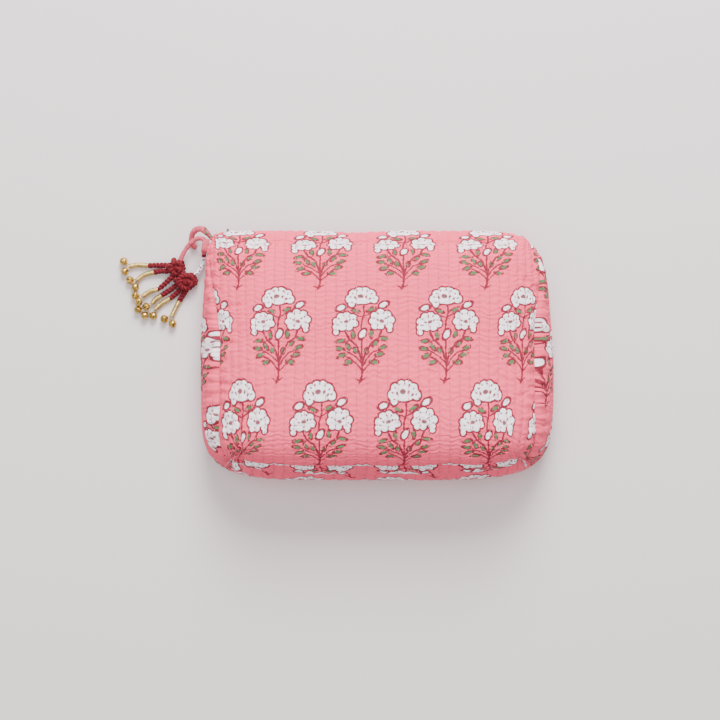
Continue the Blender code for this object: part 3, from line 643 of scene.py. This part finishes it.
def add_tube(target, points, radii, sides=10, flat=1.0):
    """Adds a capped tube to a bmesh, with cloth coordinates round and along it."""
    layer = target.loops.layers.uv.verify()
    _, first, second = route_frames(points)
    radii = np.broadcast_to(radii, len(points))
    lengths = np.concatenate([[0.0], np.cumsum(np.linalg.norm(np.diff(points, axis=0), axis=1))])
    rings = []
    for center, one, two, radius in zip(points, first, second, radii):
        rings.append([target.verts.new(center + radius * (math.cos(2 * math.pi * k / sides) * one
                                                          + flat * math.sin(2 * math.pi * k / sides) * two))
                      for k in range(sides)])
    for index in range(len(rings) - 1):
        for k in range(sides):
            face = target.faces.new((rings[index][k], rings[index][(k + 1) % sides],
                                     rings[index + 1][(k + 1) % sides], rings[index + 1][k]))
            around = 2 * math.pi * radii[index] / sides
            spots = ((k, index), (k + 1, index), (k + 1, index + 1), (k, index + 1))
            for loop, (turn, row) in zip(face.loops, spots):
                loop[layer].uv = (turn * around, lengths[row])
            face.smooth = True
    target.faces.new(rings[0][::-1])
    target.faces.new(rings[-1])


def new_object(name, source, material):
    mesh = bpy.data.meshes.new(name)
    bmesh.ops.recalc_face_normals(source, faces=source.faces)
    source.to_mesh(mesh)
    source.free()
    mesh.materials.append(material)
    item = bpy.data.objects.new(name, mesh)
    bpy.context.scene.collection.objects.link(item)
    return item


def rope(name, points, ply_radius, offset, twist, plies, material):
    """Twisted yarn of several plies round one centre line."""
    solid = bmesh.new()
    _, first, second = route_frames(points)
    lengths = np.concatenate([[0.0], np.cumsum(np.linalg.norm(np.diff(points, axis=0), axis=1))])
    offset = np.broadcast_to(offset, len(points))[:, None]
    for ply in range(plies):
        turn = 2 * math.pi * (lengths / twist + ply / plies)
        path = points + offset * (np.cos(turn)[:, None] * first + np.sin(turn)[:, None] * second)
        path[:, 2] = np.maximum(path[:, 2], ply_radius)
        add_tube(solid, path, ply_radius, 8)
    return new_object(name, solid, material)


# --- repeated pieces: one Geometry Nodes tree ----------------------------------------------

def repeat_tree():
    """Puts one piece on every point, turned by the points' forward and upward directions."""
    tree = bpy.data.node_groups.get("Pouch repeat")
    if tree:
        return tree
    tree = bpy.data.node_groups.new("Pouch repeat", "GeometryNodeTree")
    tree.interface.new_socket("Geometry", in_out="INPUT", socket_type="NodeSocketGeometry")
    tree.interface.new_socket("Piece", in_out="INPUT", socket_type="NodeSocketObject")
    tree.interface.new_socket("Scale", in_out="INPUT", socket_type="NodeSocketFloat").default_value = 1.0
    tree.interface.new_socket("Material", in_out="INPUT", socket_type="NodeSocketMaterial")
    tree.interface.new_socket("Geometry", in_out="OUTPUT", socket_type="NodeSocketGeometry")

    def node(kind, **settings):
        made = tree.nodes.new(kind)
        for key, setting in settings.items():
            setattr(made, key, setting)
        return made

    def direction(attribute):
        made = node("GeometryNodeInputNamedAttribute", data_type="FLOAT_VECTOR")
        made.inputs["Name"].default_value = attribute
        return made.outputs["Attribute"]

    link = tree.links.new
    start, end = node("NodeGroupInput"), node("NodeGroupOutput")
    piece = node("GeometryNodeObjectInfo", transform_space="ORIGINAL")
    link(start.outputs["Piece"], piece.inputs["Object"])
    ahead = node("FunctionNodeAlignRotationToVector", axis="X")
    link(direction("forward"), ahead.inputs["Vector"])
    upright = node("FunctionNodeAlignRotationToVector", axis="Z", pivot_axis="X")
    link(ahead.outputs["Rotation"], upright.inputs["Rotation"])
    link(direction("upward"), upright.inputs["Vector"])
    placed = node("GeometryNodeInstanceOnPoints")
    link(start.outputs["Geometry"], placed.inputs["Points"])
    link(piece.outputs["Geometry"], placed.inputs["Instance"])
    link(upright.outputs["Rotation"], placed.inputs["Rotation"])
    link(start.outputs["Scale"], placed.inputs["Scale"])
    real = node("GeometryNodeRealizeInstances")
    link(placed.outputs["Instances"], real.inputs["Geometry"])
    painted = node("GeometryNodeSetMaterial")
    link(real.outputs["Geometry"], painted.inputs["Geometry"])
    link(start.outputs["Material"], painted.inputs["Material"])
    link(painted.outputs["Geometry"], end.inputs["Geometry"])
    return tree


def repeat(name, piece, points, forward, upward, material, scale=1.0):
    """One plain mesh with a copy of the piece at every point."""
    mesh = bpy.data.meshes.new(name)
    mesh.from_pydata(np.asarray(points).tolist(), [], [])
    for label, vectors in (("forward", forward), ("upward", upward)):
        attribute = mesh.attributes.new(label, "FLOAT_VECTOR", "POINT")
        attribute.data.foreach_set("vector", np.asarray(vectors, dtype=np.float32).ravel())
    carrier = bpy.data.objects.new(name + "_points", mesh)
    bpy.context.scene.collection.objects.link(carrier)
    tree = repeat_tree()
    modifier = carrier.modifiers.new("Repeat", "NODES")
    modifier.node_group = tree
    values = {"Piece": piece, "Scale": scale, "Material": material}
    for socket in tree.interface.items_tree:
        if socket.in_out == "INPUT" and socket.name in values:
            modifier[socket.identifier] = values[socket.name]
    bpy.context.view_layer.update()
    evaluated = carrier.evaluated_get(bpy.context.evaluated_depsgraph_get())
    made = bpy.data.meshes.new_from_object(evaluated)
    made.name = name
    item = bpy.data.objects.new(name, made)
    bpy.context.scene.collection.objects.link(item)
    bpy.data.objects.remove(carrier, do_unlink=True)
    bpy.data.objects.remove(piece, do_unlink=True)
    return item


def stitch_piece(length, radius):
    """Low rounded stitch lying along X, its ends dipping into the cloth."""
    solid = bmesh.new()
    steps = np.linspace(-1.0, 1.0, 5)
    path = np.stack([steps * length / 2, 0 * steps, radius * (0.5 - 1.3 * steps ** 4)], axis=1)
    add_tube(solid, path, radius * np.array([0.45, 0.95, 1.0, 0.95, 0.45]), 6)
    return new_object("stitch", solid, None)


def ring_piece(radius, wire):
    """Closed ring round X."""
    solid = bmesh.new()
    around, section = 12, 6
    rows = []
    for turn in np.linspace(0, 2 * math.pi, around, endpoint=False):
        out = Vector((0.0, math.cos(turn), math.sin(turn)))
        rows.append([solid.verts.new(out * (radius + wire * math.cos(bend)) + Vector((wire * math.sin(bend), 0, 0)))
                     for bend in np.linspace(0, 2 * math.pi, section, endpoint=False)])
    for k in range(around):
        for m in range(section):
            face = solid.faces.new((rows[k][m], rows[k][(m + 1) % section], rows[(k + 1) % around][(m + 1) % section],
                                    rows[(k + 1) % around][m]))
            face.smooth = True
    return new_object("ring", solid, None)


def bell_piece(radius, wall):
    """Round bell with crossed slots on the side towards -X, a waist ridge and an eyelet at +X."""
    solid = bmesh.new()
    turns = []
    for quarter in range(4):
        turns += [quarter * 90.0 - 7.0, quarter * 90.0 + 7.0, quarter * 90.0 + 32.0, quarter * 90.0 + 58.0]
    levels = [-78.0, -62.0, -44.0, -26.0, -12.0, -4.0, 0.0, 4.0, 16.0, 34.0, 52.0, 70.0, 83.0]
    swell = {-4.0: 1.0, 0.0: 1.06, 4.0: 1.0}
    rings = []
    for level in levels:
        size = radius * swell.get(level, 1.0)
        rings.append([solid.verts.new((size * math.sin(math.radians(level)),
                                       size * math.cos(math.radians(level)) * math.cos(math.radians(turn)),
                                       size * math.cos(math.radians(level)) * math.sin(math.radians(turn))))
                      for turn in turns])
    count = len(turns)
    for row in range(len(levels) - 1):
        for k in range(count):
            if k % 4 == 0 and levels[row + 1] <= -12.0:
                continue
            face = solid.faces.new((rings[row][k], rings[row][(k + 1) % count], rings[row + 1][(k + 1) % count],
                                    rings[row + 1][k]))
            face.smooth = True
    solid.faces.new(rings[-1])
    bmesh.ops.recalc_face_normals(solid, faces=solid.faces)
    bmesh.ops.solidify(solid, geom=solid.faces[:], thickness=wall)
    eyelet = np.linspace(0, 2 * math.pi, 9)[:-1]
    path = np.stack([radius * 1.18 + 0.75 * MM * np.cos(eyelet), 0.75 * MM * np.sin(eyelet), 0 * eyelet], axis=1)
    add_tube(solid, np.concatenate([path, path[:1]]), 0.28 * MM, 6)
    return new_object("bell", solid, None)


def tooth_piece(half_width, depth, wire):
    """One turn of a zip's coil: a flat loop seen end on along X."""
    solid = bmesh.new()
    turns = np.linspace(0, 2 * math.pi, 11)
    path = np.stack([0.30 * MM * np.sin(turns / 2), half_width * np.cos(turns), depth * np.sin(turns)], axis=1)
    add_tube(solid, path, wire, 6)
    return new_object("tooth", solid, None)


# --- operators ---------------------------------------------------------------------

def mark(item, body, slot, *nodes):
    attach(item, body)
    if nodes:
        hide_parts(*nodes)
    return item


class POUCH_OT_cloth(bpy.types.Operator):
    """Build the quilted front, back and lip, with their running stitches"""
    bl_idname = "pouch.cloth"
    bl_label = "Build quilted cloth"

    def execute(self, context):
        pouch = context.scene.pouch_settings
        cotton = printed_cotton(pouch)
        lining = plain_cloth("lining_cotton", pouch.lining)
        thread = plain_cloth("quilting_thread", pouch.thread, 0.4)
        panels = {True: make_panel(True, pouch.row_pitch, pouch.puff),
                  False: make_panel(False, pouch.row_pitch, pouch.puff)}
        for front, panel in panels.items():
            across = (panel["across"][:-1, :-1] + panel["across"][1:, 1:]) / 2
            along = (panel["along"][:-1, :-1] + panel["along"][1:, 1:]) / 2
            lip_end = FRONT_LIP_END if front else BACK_LIP_END
            cells = ~((along > lip_end) & (across > CHANNEL[0]) & (across < CHANNEL[1]))
            side = "front" if front else "back"
            lip = (along > LIP_FOLD) & (along < lip_end) & (across > LIP_SPAN[0]) & (across < LIP_SPAN[1])
            if front:
                self.add_lip(panel, lip, across, cotton, lining)
                cells &= ~lip
            item = closed_sheet("quilted_" + side, panel, cells, 1 if front else -1)
            self.paint(item, cotton, lining)
            mark(item, "bag", "printed_cotton", "outer_" + side, "wadding_" + side, "lining_" + side)
            stitches = self.add_stitches("stitches_" + side, panel, cells, thread, pouch)
            mark(stitches, "bag", "printed_cotton")
        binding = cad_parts["seam_binding"]
        binding.data.materials.clear()
        binding.data.materials.append(lining)
        return {"FINISHED"}

    def paint(self, item, cotton, lining):
        item.data.materials.append(cotton)
        item.data.materials.append(lining)

    def add_lip(self, panel, lip, across, cotton, lining):
        """The lip in two halves, each a closed sheet over its own cells of the front panel."""
        points = pouch_points(np.array(LIP_SPAN), LIP_FOLD, True)
        for side, cells, end, inward, nodes in (
                ("left", lip & (across < 0.0), points[0], 0.040, ("band_front",)),
                ("right", lip & (across > 0.0), points[1], -0.040, ("band_wadding", "band_lining"))):
            item = closed_sheet("lip_" + side, panel, cells, 1)
            self.paint(item, cotton, lining)
            end[0] + inward
            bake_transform(item)
            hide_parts(*nodes)

    def add_stitches(self, name, panel, cells, thread, pouch):
        """Running stitches in every valley of the quilting."""
        u, outer, normals = panel["u"], panel["outer"], panel["normals"]
        places, forward, upward = [], [], []

        def crossing(row, mark):
            """Point of a grid row where the cloth coordinate has a value, and its column."""
            column = float(np.interp(mark, u[row], np.arange(u.shape[1])))
            low, part = int(column), column - int(column)
            high = min(low + 1, u.shape[1] - 1)
            return outer[row, low] * (1 - part) + outer[row, high] * part, low

        skip = max(2, round(pouch.stitch_pitch / (1.4 * MM)))
        reach = int(u.max() / pouch.row_pitch)
        for line in range(-reach, reach + 1):
            for row in range(2 + line % skip, len(u) - 3, skip):
                mark = line * pouch.row_pitch
                if not u[row, 3] < mark < u[row, -4] or not u[row + 1, 3] < mark < u[row + 1, -4]:
                    continue
                place, column = crossing(row, mark)
                if cells[row, min(column, cells.shape[1] - 1)] and cells[row - 1, min(column, cells.shape[1] - 1)]:
                    places.append(place + normals[row, column] * 0.05 * MM)
                    forward.append(crossing(row + 1, mark)[0] - place)
                    upward.append(normals[row, column])
        if panel["front"]:
            row = int(np.argmin(np.abs(panel["along"][:, 0] - LIP_FOLD))) - 2
            first, last = (int(np.argmin(np.abs(panel["across"][0] - end))) for end in (LIP_SPAN[0] - 0.09, LIP_SPAN[1] + 0.10))
            for column in range(first, last, 4):
                places.append(outer[row, column] + normals[row, column] * 0.08 * MM)
                forward.append(outer[row, column + 1] - outer[row, column])
                upward.append(normals[row, column])
        forward = np.array(forward)
        forward /= np.linalg.norm(forward, axis=1, keepdims=True)
        return repeat(name, stitch_piece(2.3 * MM, 0.24 * MM), places, forward, upward, thread)


class POUCH_OT_zip(bpy.types.Operator):
    """Build the zip's two coils and paint its tapes, stop and slider"""
    bl_idname = "pouch.zip"
    bl_label = "Build zip"

    def execute(self, context):
        pouch, pull = context.scene.pouch_settings, context.scene.pull_settings
        tape = plain_cloth("zip_tape", pouch.tape, 0.6)
        coil = plain_cloth("zip_coil", pouch.tape, 0.3)
        metal = worn_metal("slider_metal", pull.metal, 0.35)
        for side, sign, span, body in (("back", -1, BACK_ZIP_X, "bag"), ("front", 1, LIP_X, "front_lip")):
            marks = np.arange(span[0] + 0.8 * MM, span[1] - 0.8 * MM, 1.25 * MM)
            middle = ZIP_Z + sign * (COIL_GAP + COIL_DEPTH / 2)
            places = np.stack([marks + (0.3 * MM if side == "front" else 0.0), 0 * marks + ZIP_Y, 0 * marks + middle], 1)
            item = repeat("coil_" + side, tooth_piece(COIL_THICKNESS / 2 - 0.3 * MM, COIL_DEPTH / 2, 0.28 * MM), places,
                          np.tile((1.0, 0.0, 0.0), (len(marks), 1)), np.tile((0.0, 0.0, 1.0), (len(marks), 1)), coil)
            mark(item, body, "zip_coil", "zip_coil_" + side)
            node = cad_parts["zip_tape_" + side]
            node.data.materials.clear()
            node.data.materials.append(tape)
        for name in ("zip_bottom_stop", "slider_body", "slider_bridge"):
            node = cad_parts[name]
            node.data.materials.clear()
            node.data.materials.append(metal)
        return {"FINISHED"}


def cord_cloth(pull, pouch):
    """Turned tube of the printed cotton, plain with a patch of dark print near one end."""
    shade = Shade("cord_cotton", roughness=0.88)
    place = shade.value("ShaderNodeTexCoord", {}, (), "Object")
    split = shade.add("ShaderNodeSeparateXYZ", {}, (place,))
    x, y, z = (Value(shade, split.outputs[index]) for index in range(3))
    cloudy = shade.noise(place, 160.0, 3.0)
    tone = shade.mix(cloudy, rgba([part * 0.8 for part in pull.cord]), rgba([min(1.0, part * 1.12) for part in pull.cord]))
    near_slider = x.step(-0.1190, -0.1170) * y.step(0.0800, 0.0820)
    print_mask = shade.noise(place, 560.0, 2.0).step(0.44, 0.52) * near_slider
    tone = shade.mix(print_mask, tone, rgba(pouch.crimson))
    leaf_mask = shade.noise(place, 700.0, 1.0).step(0.52, 0.58) * near_slider
    tone = shade.mix(leaf_mask, tone, rgba(pouch.green))
    lower = y.step(0.0685, 0.0675) * x.step(-0.1262, -0.1255)
    tone = shade.mix(lower * 0.92, tone, rgba(pouch.white))
    dots = shade.value("ShaderNodeTexVoronoi", {}, {"Vector": place, "Scale": 620.0}).step(0.42, 0.34)
    tone = shade.mix(lower * dots, tone, rgba(pouch.crimson))
    band = (y - 0.0688).size().step(0.0011, 0.0007) * x.step(-0.1262, -0.1255)
    tone = shade.mix(band, tone, rgba(pouch.crimson))
    creases = shade.noise(place, 340.0, 3.0)
    return shade.finish(tone, creases, distance=0.0012, strength=0.9)


class POUCH_OT_pull(bpy.types.Operator):
    """Build the cloth cord, its keeper and the two belled tassels"""
    bl_idname = "pouch.pull"
    bl_label = "Build pull and tassels"

    def execute(self, context):
        pouch, pull = context.scene.pouch_settings, context.scene.pull_settings
        self.cloth = cord_cloth(pull, pouch)
        self.yarn = yarn_cloth("crimson_yarn", pull.yarn)
        self.wire = worn_metal("metallic_thread", pull.wire, 0.42, 0.6)
        self.brass = worn_metal("bell_brass", pull.brass, 0.30, 0.35)
        self.add_cords()
        for body, (middle, halves) in HEADS.items():
            self.add_head(body, middle, halves)
        for letter, (body, strand, sleeve, bells) in STRANDS.items():
            self.add_strand(letter, body, strand, sleeve, bells, pull.twist)
        steel = worn_metal("pellet_steel", (0.5, 0.5, 0.5), 0.4)
        for name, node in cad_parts.items():
            if name.startswith("pellet_"):
                node.data.materials.clear()
                node.data.materials.append(steel)
        return {"FINISHED"}

    def add_cords(self):
        for name, route, radius in (("pull_loop", LOOP_ROUTE, 1.9 * MM), ("pull_cord", CORD_ROUTE, 1.6 * MM)):
            points = smooth_route(route, 0.5 * MM)
            marks = np.linspace(0.0, 1.0, len(points))
            lumps = 1.0 + 0.05 * np.sin(31 * marks) + 0.04 * np.sin(67 * marks + 1.0)
            if name == "pull_loop":
                lumps *= 0.62 + 0.54 * ease(0.16, 0.52, marks)
            solid = bmesh.new()
            add_tube(solid, points, radius * lumps, 16, 0.86)
            item = new_object("cloth_" + name, solid, self.cloth)
            mark(item, "pull", "cord_cotton", name)
            riders = [self.add_keeper()] if name == "pull_cord" else []

    def add_keeper(self):
        """Folded tab of cloth lying over the crossing of the cord."""
        solid = bmesh.new()
        middle, half = Vector(KEEPER_MIDDLE) * MM, Vector(KEEPER_HALF) * MM
        bmesh.ops.create_cube(solid, size=2.0, matrix=Matrix.Translation(middle)
                              @ Matrix.Diagonal((half[0], half[1], half[2], 1.0)))
        bmesh.ops.subdivide_edges(solid, edges=solid.edges[:], cuts=5, use_grid_fill=True)
        for vert in solid.verts:
            reach = (vert.co.y - middle.y) / half[1]
            vert.co.z -= 0.9 * MM * reach * reach - 0.25 * MM * math.sin(9 * reach)
            vert.co.x += 0.5 * MM * math.sin(2.5 * reach)
        bmesh.ops.bevel(solid, geom=[edge for edge in solid.edges if edge.calc_face_angle(0) > 1.0],
                        offset=0.35 * MM, segments=2, affect="EDGES")
        for face in solid.faces:
            face.smooth = True
        item = new_object("keeper_tab", solid, self.cloth)
        mark(item, "pull", "cord_cotton", "pull_keeper")
        return item

    def add_head(self, body, middle, halves):
        """Knot of thick yarn: two plies wound round and over a ball."""
        solid = bmesh.new()
        bmesh.ops.create_uvsphere(solid, u_segments=20, v_segments=12, radius=1.0,
                                  matrix=Matrix.Translation(Vector(middle) * MM)
                                  @ Matrix.Diagonal((*[0.74 * half * MM for half in halves], 1.0)))
        steps = np.linspace(0.0, 2 * math.pi, 700)
        tilt = 1.1 * np.sin(4 * steps + 0.6)
        turn = 3 * steps + 0.7 * np.sin(5 * steps)
        path = np.stack([np.cos(tilt) * np.cos(turn), np.cos(tilt) * np.sin(turn), np.sin(tilt)], axis=1)
        path = path * (np.array(halves) * (1.06, 1.06, 0.92) - 0.9) * MM * (1 + 0.10 * np.sin(9 * steps))[:, None]
        path += np.array(middle) * MM
        _, first, second = route_frames(path)
        lengths = np.concatenate([[0.0], np.cumsum(np.linalg.norm(np.diff(path, axis=0), axis=1))])
        for lead in (0.0, math.pi):
            twist = 2 * math.pi * lengths / (5.0 * MM) + lead
            ply = path + 0.82 * MM * (np.cos(twist)[:, None] * first + np.sin(twist)[:, None] * second)
            ply[:, 2] = np.maximum(ply[:, 2], 1.1 * MM)
            add_tube(solid, ply, 1.0 * MM, 8)
        for face in solid.faces:
            face.smooth = True
        number = body[-1]
        mark(new_object("yarn_head_" + number, solid, self.yarn), body, "crimson_yarn", "tassel_head_" + number)

    def add_strand(self, letter, body, strand, sleeve, bells, twist):
        head = HEADS[body][0]
        start = np.array(head) * 1.5 - np.array(strand[0]) * 0.5
        start[2] = head[2]
        core = smooth_route([tuple(start), head] + strand + sleeve, 0.4 * MM)
        split = route_length(smooth_route([tuple(start), head] + strand, 0.4 * MM))
        marks = np.concatenate([[0.0], np.cumsum(np.linalg.norm(np.diff(core, axis=0), axis=1))])
        slim = 1.0 - 0.38 * ease(split - 0.3 * MM, split + 0.6 * MM, marks)
        item = rope("yarn_strand_" + letter, core, 1.10 * MM * slim, 0.90 * MM * slim, twist, 2, self.yarn)
        mark(item, body, "crimson_yarn", "strand_" + letter)
        points = smooth_route(sleeve, 0.52 * MM)
        tangents, sides, _ = route_frames(points)
        wound = repeat("wound_sleeve_" + letter, ring_piece(1.38 * MM, 0.38 * MM), points, tangents, sides, self.wire)
        mark(wound, body, "metallic_thread", "sleeve_" + letter)
        places, forward, upward = [], [], []
        for middle in bells:
            toward = Vector(sleeve[-1]) - Vector(middle)
            places.append(tuple(Vector(middle) * MM))
            forward.append(tuple(toward.normalized()))
            upward.append((0.3, 0.1, 1.0))
        rung = repeat("bells_" + letter, bell_piece(2.80 * MM, 0.35 * MM), places, forward, upward, self.brass)
        mark(rung, body, "bell_brass", "bell_" + letter + "1", "bell_" + letter + "2")


class POUCH_OT_stage(bpy.types.Operator):
    """Set the floor, the soft light, the world and the camera"""
    bl_idname = "pouch.stage"
    bl_label = "Set stage"

    def execute(self, context):
        stage = context.scene.stage_settings
        solid = bmesh.new()
        bmesh.ops.create_grid(solid, x_segments=1, y_segments=1, size=3.0)
        floor = Shade("seamless_floor", roughness=0.9)
        floor.shader.inputs["Base Color"].default_value = rgba(stage.floor)
        item = new_object("floor", solid, floor.material)
        for name, place, size, power in (("window", (0.12, 1.30, 0.98), 0.8, 62.0), ("fill", (-0.4, 0.0, 1.8), 1.6, 18.0)):
            data = bpy.data.lights.new(name, "AREA")
            data.size, data.energy = size, power
            lamp = bpy.data.objects.new(name, data)
            lamp.location = place
            lamp.rotation_euler = (-Vector(place)).to_track_quat("-Z", "Y").to_euler()
            context.scene.collection.objects.link(lamp)
        world = bpy.data.worlds.new("studio")
        world.use_nodes = True
        world.node_tree.nodes["Background"].inputs[0].default_value = (1.0, 0.985, 0.98, 1.0)
        world.node_tree.nodes["Background"].inputs[1].default_value = 0.74
        context.scene.world = world
        data = bpy.data.cameras.new("camera")
        data.lens, data.sensor_width = 100.0, 36.0
        camera = bpy.data.objects.new("camera", data)
        camera.location = (-0.0115, -0.0027, stage.camera_height)
        context.scene.collection.objects.link(camera)
        context.scene.camera = camera
        return {"FINISHED"}


class POUCH_PT_panel(bpy.types.Panel):
    """Sidebar panel with the pouch's settings and builders"""
    bl_idname = "POUCH_PT_panel"
    bl_label = "Makeup pouch"
    bl_space_type = "VIEW_3D"
    bl_region_type = "UI"
    bl_category = "Pouch"

    def draw(self, context):
        for name, operators in (("pouch_settings", (POUCH_OT_cloth, POUCH_OT_zip)),
                                ("pull_settings", (POUCH_OT_pull,)), ("stage_settings", (POUCH_OT_stage,))):
            box = self.layout.box()
            settings = getattr(context.scene, name)
            for prop in settings.__annotations__:
                box.prop(settings, prop)
            for operator in operators:
                box.operator(operator.bl_idname)


CLASSES = (PouchSettings, PullSettings, StageSettings, POUCH_OT_cloth, POUCH_OT_zip, POUCH_OT_pull, POUCH_OT_stage,
           POUCH_PT_panel)


def register():
    for item in CLASSES:
        bpy.utils.register_class(item)
    bpy.types.Scene.pouch_settings = bpy.props.PointerProperty(type=PouchSettings)
    bpy.types.Scene.pull_settings = bpy.props.PointerProperty(type=PullSettings)
    bpy.types.Scene.stage_settings = bpy.props.PointerProperty(type=StageSettings)


def unregister():
    del bpy.types.Scene.pouch_settings
    del bpy.types.Scene.pull_settings
    del bpy.types.Scene.stage_settings
    for item in reversed(CLASSES):
        bpy.utils.unregister_class(item)


def main():
    register()
    bpy.ops.pouch.stage()
    bpy.ops.pouch.cloth()
    bpy.ops.pouch.zip()
    bpy.ops.pouch.pull()


if __name__ == "__main__":
    main()
